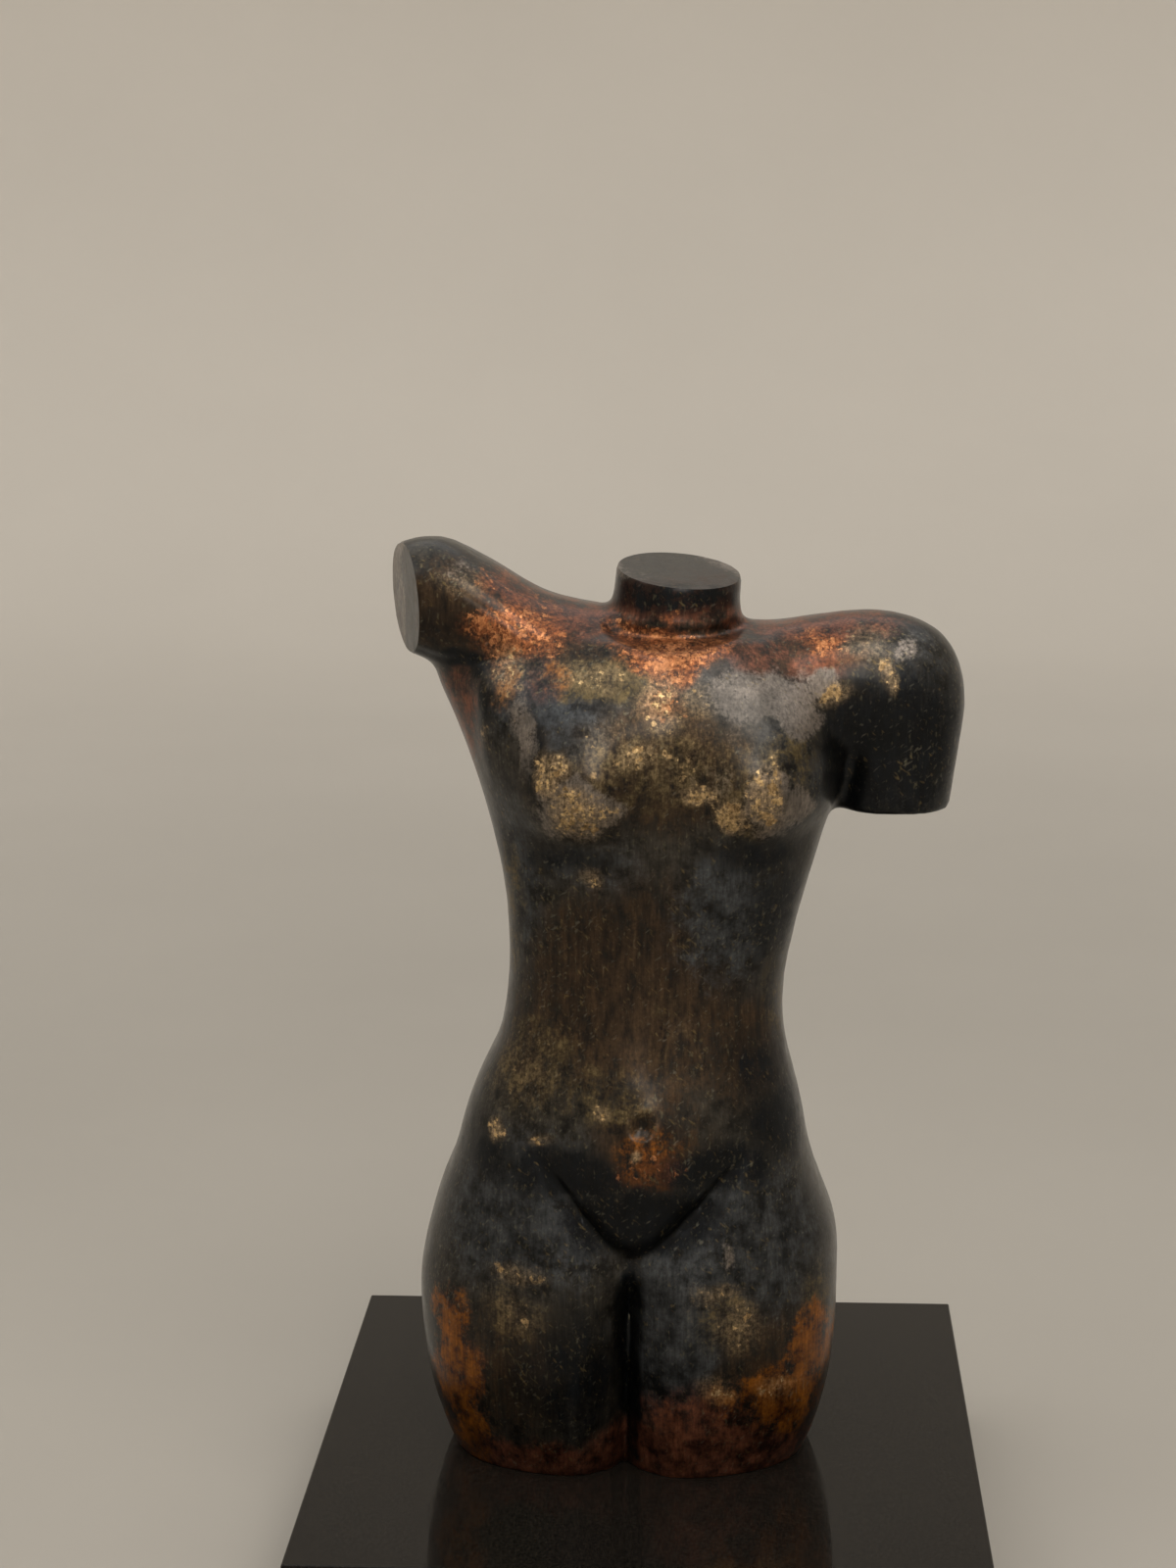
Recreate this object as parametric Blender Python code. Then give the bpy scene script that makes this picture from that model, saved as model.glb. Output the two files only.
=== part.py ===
"""A headless female torso, cast in one piece, standing on a low square plinth of polished black stone.

One arm is raised and cut off at the shoulder, the other hangs and is cut off above the elbow.
Metres, +Z up. The front of the figure looks along -Y, and its own right side is at -X.
The origin is the middle of the plinth's underside.
"""
import bpy
import bmesh
import math
import numpy as np
from mathutils import Vector

# Driving dimensions of the plinth
PLINTH_SIDE = 0.400
PLINTH_HEIGHT = 0.080
PLINTH_ARRIS = 0.0010

# Driving dimensions of the casting
TORSO_HEIGHT = 0.555
SEAT_GAP = 0.0003
TORSO_OFFSET_X = 0.0
TORSO_OFFSET_Y = 0.0

# The casting keeps its proportions: one UNIT is one millimetre at the height of 0.555 m
UNIT = TORSO_HEIGHT / 555.0

# How finely the casting is modelled, in units
RING_STEP = 4.0
RING_SIDES = 96
FUSE_VOXEL = 3.0
SOFTEN_ROUNDS = 10
BLEND_ROUNDS = 45
TORSO_TRIANGLES = 9000

# Trunk levels from below the cut of the thighs to the collar:
# height, right flank, left flank, front, back, boxiness of the section (2 is an ellipse)
TRUNK_LEVELS = [
    (-24, -104, 82, -74, 48, 2.5),
    (0, -118.5, 97, -83, 55, 2.5),
    (15, -125, 103.5, -86, 58, 2.5),
    (46, -134, 111.5, -90, 64, 2.5),
    (75, -138, 115, -92, 71, 2.4),
    (105, -139.5, 116, -91, 77, 2.4),
    (137, -133, 114, -88, 78, 2.4),
    (163, -125.5, 105.3, -86, 72, 2.4),
    (187, -116, 98.3, -86, 63, 2.4),
    (212, -109.2, 94, -84, 54, 2.4),
    (237, -99.5, 88, -80, 47, 2.4),
    (262, -87.6, 82.5, -75, 43, 2.4),
    (287, -83.3, 81.6, -71, 44, 2.4),
    (324, -81.8, 87.3, -70, 49, 2.5),
    (360, -85.3, 97, -72, 56, 2.6),
    (396, -94.5, 108, -75, 63, 2.5),
    (430, -106, 114, -77, 67, 2.6),
    (458, -118, 114, -74, 67, 2.5),
    (482, -122, 102, -62, 60, 2.4),
    (502, -70, 78, -46, 50, 2.4),
]

# The shoulder girdle, one run from the raised right arm over the shoulders and down the left arm:
# middle across, middle in depth, middle in height, lean of the section from upright, half height, half depth
GIRDLE_STATIONS = [
    (-176, -8, 524, 6, 29, 28),
    (-148, -6, 520, 6, 31.5, 31),
    (-128, -4, 518, 8, 38, 35),
    (-104, -1, 511, 16, 45, 41),
    (-78, 1, 499, 20, 46, 45),
    (-50, 2, 480, 13, 43.5, 49),
    (-20, 3, 472, 4, 42, 51),
    (25, 4, 468, -3, 40, 51),
    (68, 5, 466, -6, 39, 47),
    (100, 5, 468, -13, 43, 43),
    (122, 5, 466, -28, 50.5, 42),
    (138, 4, 461, -46, 52, 40),
    (147, 3, 450, -65, 45, 38),
    (149, 2, 436, -80, 38, 36),
    (147, 0, 416, -92, 35, 34),
    (145, -1, 393.5, -92, 34, 33.5),
]
GIRDLE_BOXINESS = 2.2

# The neck: middle across, middle in depth, height, half width, half depth
NECK_LEVELS = [
    (12, 4, 470, 44, 42),
    (15, 2, 500, 40, 38),
    (17, 0, 515, 38, 37),
    (19, -1, 535, 37, 36),
    (20, -2, 560, 36.5, 35.5),
]

# Flat saw cuts: the middle of the cut, the direction that is sawn away, the width and the depth of the waste
SAW_CUTS = [
    ("foot", (0, 0, 0), (0, 0, -1), 400, 60),
    ("neck", (19, 0, 535.5), (0.098, -0.16, 1), 110, 60),
    ("right arm", (-142, -6, 518), (-1, -0.36, -0.05), 110, 60),
    ("left arm", (160, 0, 396), (0, 0, -1), 104, 60),
]

# The middle line of the front, height against position across
MIDLINE = [(0, -12), (100, -9), (180, -3), (260, 2), (330, 5), (400, 10), (470, 11), (535, 19)]


def smooth_curve(knots, values, at):
    """A smooth curve through the values at the knots, read at the given places."""
    knots = np.asarray(knots, float)
    values = np.asarray(values, float)
    step = np.diff(knots)
    rise = np.diff(values, axis=0) / step[:, None]
    slope = np.vstack([rise[:1], (rise[1:] + rise[:-1]) / 2, rise[-1:]])
    span = np.clip(np.searchsorted(knots, at) - 1, 0, len(step) - 1)
    t = ((at - knots[span]) / step[span])[:, None]
    width = step[span][:, None]
    return (
        values[span] * (1 + 2 * t) * (1 - t) ** 2
        + values[span + 1] * t * t * (3 - 2 * t)
        + slope[span] * width * t * (1 - t) ** 2
        - slope[span + 1] * width * t * t * (1 - t)
    )


def rounded_outline(boxiness):
    """A closed outline with half sizes of one: an ellipse at 2, nearer a box above."""
    angle = np.arange(RING_SIDES) * 2 * math.pi / RING_SIDES
    across, deep = np.cos(angle), np.sin(angle)
    power = 2.0 / boxiness
    return np.sign(across) * np.abs(across) ** power, np.sign(deep) * np.abs(deep) ** power


def loft(rings):
    """Vertices and faces of a closed solid through a run of rings, each with the same number of points."""
    count = len(rings[0])
    points = np.vstack(rings)
    faces = []
    for ring in range(len(rings) - 1):
        low, high = ring * count, (ring + 1) * count
        for side in range(count):
            following = (side + 1) % count
            faces.append((low + side, low + following, high + following, high + side))
    faces.append(tuple(reversed(range(count))))
    faces.append(tuple(range(len(points) - count, len(points))))
    return points, faces


def trunk():
    """The trunk as level rings, from under the thighs to the collar."""
    table = np.array(TRUNK_LEVELS, float)
    heights = np.arange(table[0, 0], table[-1, 0] + RING_STEP / 2, RING_STEP)
    rows = smooth_curve(table[:, 0], table[:, 1:], heights)
    rings = []
    for height, (right, left, front, back, boxiness) in zip(heights, rows):
        across, deep = rounded_outline(boxiness)
        half_depth = (back - front) / 2
        ring = np.column_stack([
            (left + right) / 2 + across * (left - right) / 2,
            (front + back) / 2 + deep * half_depth,
            np.full(RING_SIDES, height),
        ])
        rings.append(ring)
    return loft(rings)


def limb(stations, boxiness):
    """A run of upright-leaning rings along a path in the plane of the shoulders."""
    table = np.array(stations, float)
    path = table[:, :3]
    along = np.concatenate([[0], np.cumsum(np.linalg.norm(np.diff(path, axis=0), axis=1))])
    places = np.linspace(0, along[-1], max(2, int(along[-1] / RING_STEP)))
    rows = smooth_curve(along, table, places)
    across, deep = rounded_outline(boxiness)
    rings = []
    for middle_x, middle_y, middle_z, lean, half_height, half_depth in rows:
        turn = math.radians(lean)
        rise = across * half_height
        ring = np.column_stack([
            middle_x - rise * math.sin(turn),
            middle_y + deep * half_depth,
            middle_z + rise * math.cos(turn),
        ])
        rings.append(ring)
    return loft(rings)


def neck():
    """The neck as level rings."""
    table = np.array(NECK_LEVELS, float)
    heights = np.arange(table[0, 2], table[-1, 2] + RING_STEP / 2, RING_STEP)
    rows = smooth_curve(table[:, 2], table[:, [0, 1, 3, 4]], heights)
    across, deep = rounded_outline(2.0)
    rings = []
    for height, (middle_x, middle_y, half_width, half_depth) in zip(heights, rows):
        ring = np.column_stack([
            middle_x + across * half_width,
            middle_y + deep * half_depth,
            np.full(RING_SIDES, height),
        ])
        rings.append(ring)
    return loft(rings)


def mesh_object(name, shapes):
    """One object from several closed shapes, in metres."""
    points, faces = [], []
    for shape_points, shape_faces in shapes:
        start = sum(len(p) for p in points)
        points.append(shape_points)
        faces.extend([tuple(start + corner for corner in face) for face in shape_faces])
    mesh = bpy.data.meshes.new(name)
    mesh.from_pydata((np.vstack(points) * UNIT).tolist(), [], faces)
    made = bmesh.new()
    made.from_mesh(mesh)
    bmesh.ops.recalc_face_normals(made, faces=made.faces)
    made.to_mesh(mesh)
    made.free()
    body = bpy.data.objects.new(name, mesh)
    bpy.context.scene.collection.objects.link(body)
    return body


def settle(body):
    """Applies the object's modifiers to its mesh."""
    bpy.context.view_layer.update()
    ready = body.evaluated_get(bpy.context.evaluated_depsgraph_get())
    mesh = bpy.data.meshes.new_from_object(ready)
    body.modifiers.clear()
    body.data = mesh


def fuse(body):
    """Joins the overlapping shapes into one skin."""
    remesh = body.modifiers.new("fuse", "REMESH")
    remesh.mode = "VOXEL"
    remesh.voxel_size = FUSE_VOXEL * UNIT
    settle(body)


def vertices_of(body):
    """The vertices in units, and their normals."""
    count = len(body.data.vertices)
    places = np.empty(count * 3)
    normals = np.empty(count * 3)
    body.data.vertices.foreach_get("co", places)
    body.data.vertices.foreach_get("normal", normals)
    return places.reshape(-1, 3) / UNIT, normals.reshape(-1, 3)


def bump(distance, spread):
    """A soft bell, one at distance zero."""
    return np.exp(-((distance / spread) ** 2))


def rise(value, low, high):
    """Zero below low, one above high, and smooth between."""
    t = np.clip((value - low) / (high - low), 0, 1)
    return t * t * (3 - 2 * t)


def soften(body):
    """Rounds the joins between trunk, limbs and neck, and leaves the rest nearly as it is."""
    places, _ = vertices_of(body)
    x, y, z = places.T
    armpits = bump(z - 466, np.where(z < 466, 50, 42)) * rise(np.abs(x - 10), 25, 95)
    neck_foot = 0.35 * bump(z - 503, 10) * bump(x - 18, 62)
    weights = np.clip(armpits + neck_foot, 0, 1)
    group = body.vertex_groups.new(name="joins")
    for index in np.nonzero(weights > 0.02)[0]:
        group.add([int(index)], float(weights[index]), "REPLACE")
    joins = body.modifiers.new("joins", "SMOOTH")
    joins.factor = 0.5
    joins.iterations = BLEND_ROUNDS
    joins.vertex_group = "joins"
    skin = body.modifiers.new("skin", "SMOOTH")
    skin.factor = 0.5
    skin.iterations = SOFTEN_ROUNDS
    settle(body)


def carve(body):
    """Moves the skin in and out for the forms of the figure."""
    places, normals = vertices_of(body)
    x, y, z = places.T
    middle = np.interp(z, *np.array(MIDLINE, float).T)
    side = x - middle
    front = rise(-normals[:, 1], -0.1, 0.5)
    back = rise(normals[:, 1], -0.1, 0.5)
    out = np.zeros(len(x))
    deep = np.zeros(len(x))

    # the valley between the thighs, in front and behind
    thighs = 1 - rise(z, 98, 140)
    deep += front * thighs * (17 * bump(side, 19) + 8 * bump(side, 5))
    deep -= back * (1 - rise(z, 118, 168)) * (16 * bump(side, 13) + 7 * bump(side, 5))

    # the groin: a crease that rises on both sides of the mound
    crease = 117 + np.sqrt((1.33 * side) ** 2 + 20 ** 2)
    above = (z - crease) / 1.5
    strength = 1 - rise(np.abs(side), 38, 74)
    deep += front * strength * (5.0 * bump(above, 6) + 5.0 * bump(above + 2, 16))
    # thighs swell just below the crease
    out += front * 3.0 * bump(above + 34, 26) * bump(np.abs(side) - 44, 36)

    # belly, navel and the furrow above it
    out += front * 4.0 * bump(np.hypot(side, z - 192), 40)
    navel = np.hypot(side - 1, (z - 222) * 0.9)
    out += front * (0.9 * bump(navel - 9, 3) - 2.6 * bump(navel, 4.5))
    deep += front * 1.6 * bump(side, 9) * rise(z, 235, 260) * (1 - rise(z, 350, 385))

    # breasts, fuller below
    for breast_side, breast_height in ((-49, 414), (62, 415)):
        across = (side - breast_side) / 34
        up = (z - breast_height) / np.where(z > breast_height, 40, 25)
        reach = across ** 2 + up ** 2
        out += front * 14 * np.exp(-reach ** 1.3)
    deep += front * 2.0 * bump(side - 5, 14) * bump(z - 425, 45)

    # the flank turns away beside the chest, under the raised arm
    flank = rise(-x, 82, 108) * bump(z - 452, np.where(z > 452, 34, 46))
    deep += rise(-normals[:, 1], -0.4, 0.3) * 12 * flank

    # rib arch under the chest
    arch = 352 - 0.55 * np.abs(side) ** 1.02
    out += front * 1.6 * rise(z - arch, -4, 22) * (1 - rise(z, 370, 395)) * rise(np.abs(side), 4, 26)

    # collar bones and the notch between them
    collar = 496 + 0.10 * np.abs(side)
    out += front * 1.3 * bump(z - collar, 6) * rise(np.abs(side), 10, 26) * (1 - rise(np.abs(side), 60, 90))
    deep += front * 2.2 * bump(np.hypot(side, z - 492), 9)

    # furrow of the spine, shoulder blades and the small of the back
    deep -= back * 4.5 * bump(side, 9) * rise(z, 150, 190) * (1 - rise(z, 455, 490))
    for blade_side in (-52, 50):
        out += back * 4.0 * bump(np.hypot(side - blade_side, (z - 430) * 0.7), 26)

    # buttocks and the fold beneath them
    for cheek_side in (-60, 62):
        cheek = np.hypot((side - cheek_side) / 52, (z - 118) / 44)
        out += back * 15 * np.exp(-cheek ** 2.4)
    out -= back * 3.5 * bump(z - 66 - 0.0016 * side ** 2, 7) * (1 - rise(np.abs(side), 60, 100))

    # the seam around the foot of the neck
    neck_x = (x - 18) / 40
    seam = 511 - 14 * np.sqrt(np.clip(1 - neck_x ** 2, 0, 1)) * (y < 0)
    around = rise(-y, -4, 18) * (1 - rise(np.abs(neck_x), 0.86, 1.12))
    out += around * (1.8 * bump(z - seam + 5, 4) - 1.8 * bump(z - seam, 3))

    places += normals * out[:, None]
    places[:, 1] += deep
    body.data.vertices.foreach_set("co", (places * UNIT).ravel())
    body.data.update()


def lighten(body):
    """Brings the skin down to a light faceted solid."""
    body.data.calc_loop_triangles()
    fine = len(body.data.loop_triangles)
    decimate = body.modifiers.new("facets", "DECIMATE")
    decimate.ratio = min(1.0, TORSO_TRIANGLES / fine)
    even = body.modifiers.new("even", "SMOOTH")
    even.factor = 0.35
    even.iterations = 2
    settle(body)


def saw(body, name, middle, away, width, depth):
    """Takes a block of waste off the casting and leaves a flat cut."""
    mesh = bpy.data.meshes.new(name)
    made = bmesh.new()
    bmesh.ops.create_cube(made, size=1)
    bmesh.ops.scale(made, vec=(width * UNIT, width * UNIT, depth * UNIT), verts=made.verts)
    bmesh.ops.translate(made, vec=(0, 0, depth * UNIT / 2), verts=made.verts)
    made.to_mesh(mesh)
    made.free()
    waste = bpy.data.objects.new(name, mesh)
    waste.display_type = "WIRE"
    waste.hide_render = True
    bpy.context.scene.collection.objects.link(waste)
    waste.location = Vector(middle) * UNIT
    waste.rotation_mode = "QUATERNION"
    waste.rotation_quaternion = Vector(away).to_track_quat("Z", "Y")
    cut = body.modifiers.new(name, "BOOLEAN")
    cut.operation = "DIFFERENCE"
    cut.solver = "EXACT"
    cut.object = waste
    settle(body)
    bpy.data.objects.remove(waste)
    made = bmesh.new()
    made.from_mesh(body.data)
    bmesh.ops.remove_doubles(made, verts=made.verts, dist=0.0001)
    bmesh.ops.dissolve_degenerate(made, edges=made.edges, dist=0.00001)
    made.to_mesh(body.data)
    made.free()


def material(name, colour, roughness, metallic):
    """A plain metal or stone."""
    finish = bpy.data.materials.new(name)
    finish.use_nodes = True
    shader = finish.node_tree.nodes["Principled BSDF"]
    shader.inputs["Base Color"].default_value = (*colour, 1)
    shader.inputs["Roughness"].default_value = roughness
    shader.inputs["Metallic"].default_value = metallic
    return finish


def torso():
    """The casting: trunk, shoulders, two arm stumps and the neck in one piece."""
    shapes = [trunk(), limb(GIRDLE_STATIONS, GIRDLE_BOXINESS), neck()]
    body = mesh_object("torso", shapes)
    fuse(body)
    soften(body)
    carve(body)
    lighten(body)
    for name, middle, away, width, depth in SAW_CUTS:
        saw(body, name, middle, away, width, depth)
    body.data.shade_smooth()
    body.data.set_sharp_from_angle(angle=math.radians(40))
    body.data.materials.append(material("patinated bronze", (0.075, 0.07, 0.06), 0.34, 0.7))
    body.location = (TORSO_OFFSET_X, TORSO_OFFSET_Y, PLINTH_HEIGHT + SEAT_GAP)
    return body


def plinth():
    """A square block of polished stone with its edges just eased."""
    mesh = bpy.data.meshes.new("plinth")
    made = bmesh.new()
    bmesh.ops.create_cube(made, size=1)
    bmesh.ops.scale(made, vec=(PLINTH_SIDE, PLINTH_SIDE, PLINTH_HEIGHT), verts=made.verts)
    bmesh.ops.translate(made, vec=(0, 0, PLINTH_HEIGHT / 2), verts=made.verts)
    bmesh.ops.bevel(
        made,
        geom=made.verts[:] + made.edges[:],
        offset=PLINTH_ARRIS,
        segments=2,
        profile=0.5,
        affect="EDGES",
    )
    made.to_mesh(mesh)
    made.free()
    block = bpy.data.objects.new("plinth", mesh)
    bpy.context.scene.collection.objects.link(block)
    block.data.materials.append(material("polished black stone", (0.012, 0.012, 0.012), 0.06, 0.0))
    return block


def main():
    for old in list(bpy.data.objects):
        bpy.data.objects.remove(old)
    plinth()
    torso()


main()
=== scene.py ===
# %% [markdown]
# # A patinated bronze torso on a black stone plinth
#
# The real thing is two pieces. The figure is a hollow casting: a headless woman's torso with one arm raised
# and cut short and the other hanging. It stands on a square block of polished black stone.
# The CAD model already has both pieces at their real size. This lesson gives them their surfaces.

import math

import bmesh
import bpy
import numpy as np
from mathutils import Matrix, Vector, kdtree, noise


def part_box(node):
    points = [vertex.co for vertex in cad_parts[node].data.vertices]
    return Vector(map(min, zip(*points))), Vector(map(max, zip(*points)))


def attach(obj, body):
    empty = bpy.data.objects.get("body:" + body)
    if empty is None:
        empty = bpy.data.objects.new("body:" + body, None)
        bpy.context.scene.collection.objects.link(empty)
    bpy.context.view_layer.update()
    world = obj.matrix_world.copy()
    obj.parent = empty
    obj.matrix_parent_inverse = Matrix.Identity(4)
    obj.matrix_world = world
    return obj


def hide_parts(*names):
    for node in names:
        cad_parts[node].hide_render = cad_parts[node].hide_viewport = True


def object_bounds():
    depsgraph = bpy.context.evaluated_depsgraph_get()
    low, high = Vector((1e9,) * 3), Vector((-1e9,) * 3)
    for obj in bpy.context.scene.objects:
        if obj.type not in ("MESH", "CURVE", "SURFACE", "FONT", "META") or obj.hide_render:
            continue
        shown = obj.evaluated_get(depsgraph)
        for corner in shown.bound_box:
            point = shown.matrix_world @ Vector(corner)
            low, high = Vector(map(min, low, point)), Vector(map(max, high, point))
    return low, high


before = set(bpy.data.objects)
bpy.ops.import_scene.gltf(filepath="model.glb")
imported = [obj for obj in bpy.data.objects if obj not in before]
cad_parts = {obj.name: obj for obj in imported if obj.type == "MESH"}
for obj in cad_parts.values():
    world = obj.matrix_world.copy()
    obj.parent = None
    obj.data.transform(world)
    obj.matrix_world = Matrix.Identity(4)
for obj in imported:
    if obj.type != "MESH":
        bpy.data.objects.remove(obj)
cad_low, cad_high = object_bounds()
MM = 0.001
PLINTH_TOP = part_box("plinth")[1].z
print("CAD box in mm:", [round(v / MM, 1) for v in (*cad_low, *cad_high)])

# %% [markdown]
# ## Colours and nodes
#
# Colours are written as they look on a screen, in hex. Blender mixes light, so they are turned into linear
# values first, by the sRGB rule. A material is a tree of nodes. One helper adds a node, sets it and links it,
# and another chains the sums that most patterns need. Both keep the recipes below short.

# %% Helpers for materials
def linear(hex_colour):
    """A screen colour such as "8a5a20" as the linear RGBA that Blender's sockets take."""
    channels = [int(hex_colour[i:i + 2], 16) / 255 for i in (0, 2, 4)]
    light = [c / 12.92 if c <= 0.04045 else ((c + 0.055) / 1.055) ** 2.4 for c in channels]
    return (*light, 1.0)


def feed(tree, node, links):
    """Feeds a node's sockets, each from a socket or from another node's first output."""
    for name, source in links.items():
        socket = source.outputs[0] if isinstance(source, bpy.types.Node) else source
        tree.links.new(socket, node.inputs[name])


def add(tree, kind, settings=None, links=None):
    """Adds one node, sets its options and sockets by name or number, and feeds the linked ones."""
    node = tree.nodes.new(kind)
    for name, value in (settings or {}).items():
        if isinstance(name, str) and hasattr(node, name):
            setattr(node, name, value)
        else:
            node.inputs[name].default_value = value
    feed(tree, node, links or {})
    return node


def weighed_sum(tree, base, *parts):
    """A base number plus each part, which is a value and its weight."""
    total = None
    for value, weight in parts:
        links = {0: value} if total is None else {0: value, 2: total}
        total = add(tree, "ShaderNodeMath", {"operation": "MULTIPLY_ADD", 1: weight, 2: base}, links)
    return total


def new_material(name):
    """An empty material, with its tree, its shader and the object's own coordinates in metres."""
    material = bpy.data.materials.new(name)
    material.use_nodes = True
    tree = material.node_tree
    shader = tree.nodes["Principled BSDF"]
    place = add(tree, "ShaderNodeTexCoord").outputs["Object"]
    return material, tree, shader, place


print("a mid grey of 808080 is", round(linear("808080")[0], 3), "in linear light")

# %% [markdown]
# ## The camera
#
# The plinth's top is a square, so its four corners in a photograph say where the camera stood: nearly two
# metres away, a little above the cut neck, looking down by twelve degrees. Setting the camera first means
# that every later render can be held against the photograph.

# %% Place the camera
CAMERA_PLACE = Vector((0.0597, -1.6898, 0.7681 + PLINTH_TOP))
CAMERA_PITCH = math.radians(12.04)
CAMERA_YAW = math.radians(-3.219)
CAMERA_ROLL = math.radians(0.354)
CAMERA_LENS = 66.6
CAMERA_SENSOR = 36

ahead = Vector((
    math.sin(CAMERA_YAW) * math.cos(CAMERA_PITCH),
    math.cos(CAMERA_YAW) * math.cos(CAMERA_PITCH),
    -math.sin(CAMERA_PITCH),
))
level = Vector((math.cos(CAMERA_YAW), -math.sin(CAMERA_YAW), 0))
below = ahead.cross(level)
right = level * math.cos(CAMERA_ROLL) + below * math.sin(CAMERA_ROLL)
up = right.cross(ahead)

camera = bpy.data.objects.new("camera", bpy.data.cameras.new("camera"))
bpy.context.scene.collection.objects.link(camera)
camera.data.lens = CAMERA_LENS
camera.data.sensor_width = CAMERA_SENSOR
camera.matrix_world = Matrix((
    (right.x, up.x, -ahead.x, CAMERA_PLACE.x),
    (right.y, up.y, -ahead.y, CAMERA_PLACE.y),
    (right.z, up.z, -ahead.z, CAMERA_PLACE.z),
    (0, 0, 0, 1),
))
bpy.context.scene.camera = camera
print("camera at", [round(v, 3) for v in CAMERA_PLACE])

# %% [markdown]
# ## The skin of the casting
#
# The CAD solid is faceted, with triangles of about 8 mm. A foundry's wax has no facets, so the figure gets a
# finer skin. Three of its four sawn ends are first drawn out a little, so that smoothing can't round them,
# and are sawn off again later. The end of the hanging arm has a soft rim on the real figure, so it stays as
# it is and gets rounded. Then a voxel remesh makes an even net of small squares, and smoothing takes the
# facets out of it. A subdivision surface would keep the facets' uneven flow. The smoothing goes in and out by
# turns, which keeps the volume.

# %% Find the flat sawn ends of the CAD solid
WELD = 0.02 * MM
SAW_MIN_AREA = 6e-4

work = bmesh.new()
work.from_mesh(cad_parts["torso"].data)
bmesh.ops.remove_doubles(work, verts=work.verts, dist=WELD)
flats = {}
for face in work.faces:
    plane_height = face.normal.dot(face.verts[0].co)
    plane = (*(round(v, 3) for v in face.normal), round(plane_height, 4))
    flats.setdefault(plane, []).append(face)
saw_cuts = []
for faces in flats.values():
    area = sum(face.calc_area() for face in faces)
    if area > SAW_MIN_AREA:
        middle = sum((face.calc_center_median() * face.calc_area() for face in faces), Vector()) / area
        away = sum((face.normal * face.calc_area() for face in faces), Vector()).normalized()
        saw_cuts.append((middle, away, faces, area))
        print("sawn end of", round(area * 1e4), "square cm at", [round(v / MM) for v in middle])

# %% Draw three of the ends out
DRAW_OUT = 14 * MM
soft_end = max(saw_cuts, key=lambda cut: cut[0].x)
saw_cuts.remove(soft_end)
for middle, away, faces, area in saw_cuts:
    grown = bmesh.ops.extrude_face_region(work, geom=faces)["geom"]
    end_points = [item for item in grown if isinstance(item, bmesh.types.BMVert)]
    bmesh.ops.translate(work, vec=away * DRAW_OUT, verts=end_points)
    bmesh.ops.delete(work, geom=faces, context="FACES")
bmesh.ops.recalc_face_normals(work, faces=work.faces)
print("drew", len(saw_cuts), "ends out by", round(DRAW_OUT / MM), "mm")

# %% Make the fine net
SKIN_VOXEL = 2.35 * MM


def settle(piece):
    """Applies the piece's modifiers."""
    bpy.context.view_layer.update()
    ready = piece.evaluated_get(bpy.context.evaluated_depsgraph_get())
    mesh = bpy.data.meshes.new_from_object(ready)
    piece.modifiers.clear()
    piece.data = mesh


skin_mesh = bpy.data.meshes.new("torso skin")
work.to_mesh(skin_mesh)
work.free()
skin = bpy.data.objects.new("torso_skin", skin_mesh)
bpy.context.scene.collection.objects.link(skin)
net = skin.modifiers.new("net", "REMESH")
net.mode = "VOXEL"
net.voxel_size = SKIN_VOXEL
settle(skin)
print("the net has", len(skin.data.vertices), "points")

# %% Helpers that read and write a mesh's points
def read_points(mesh):
    """The mesh's points in metres."""
    places = np.empty(len(mesh.vertices) * 3)
    mesh.vertices.foreach_get("co", places)
    return places.reshape(-1, 3)


def read_normals(mesh):
    """The outward direction at each point."""
    normals = np.empty(len(mesh.vertices) * 3)
    mesh.vertices.foreach_get("normal", normals)
    return normals.reshape(-1, 3)


def write_points(mesh, places):
    """Puts the mesh's points at new places."""
    mesh.vertices.foreach_set("co", places.astype(np.float32).ravel())
    mesh.update()


print("the net reaches up to", round(read_points(skin.data)[:, 2].max() / MM), "mm")

# %% Take the facets out
FACET_ROUNDS = 26
STEP_IN = 0.5
STEP_OUT = -0.52


def joined_ends(mesh):
    """The two ends of every edge, and how many edges meet at each point."""
    ends = np.empty(len(mesh.edges) * 2, dtype=np.int64)
    mesh.edges.foreach_get("vertices", ends)
    return (*ends.reshape(-1, 2).T, np.bincount(ends, minlength=len(mesh.vertices)))


def neighbour_mean(values, ends_a, ends_b, degree):
    """The mean of each point's neighbours along the edges."""
    total = np.zeros_like(values)
    for axis in range(values.shape[1]):
        total[:, axis] += np.bincount(ends_a, values[ends_b, axis], len(values))
        total[:, axis] += np.bincount(ends_b, values[ends_a, axis], len(values))
    return total / degree[:, None]


def smooth_out_and_in(places, rounds):
    """Takes out bumps of a net's size and keeps larger forms and the volume."""
    for _ in range(rounds):
        for step in (STEP_IN, STEP_OUT):
            places = places + step * (neighbour_mean(places, *joins) - places)
    return places


def soften(places, where, rounds):
    """Draws points towards their neighbours, each as much as it is asked to."""
    for _ in range(rounds):
        places = places + STEP_IN * where[:, None] * (neighbour_mean(places, *joins) - places)
    return places


joins = joined_ends(skin.data)
points = smooth_out_and_in(read_points(skin.data), FACET_ROUNDS)
write_points(skin.data, points)
print("smoothed", FACET_ROUNDS, "rounds")

# %% [markdown]
# ## What the founder's hand left
#
# Some forms are finer than the CAD solid's facets: the lip round the foot of the neck, the ring of the navel,
# the crease of the groin, the parting of the thighs and the slight waviness of hand-smoothed wax. Sculpting
# them by brush would be lost at the next change of size. So each is a soft ridge that pushes the skin out, or
# with a height below zero a groove that pushes it in. All are placed in millimetres: x across the figure, y
# in depth with the front below zero, and z above the plinth's top.

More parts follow.
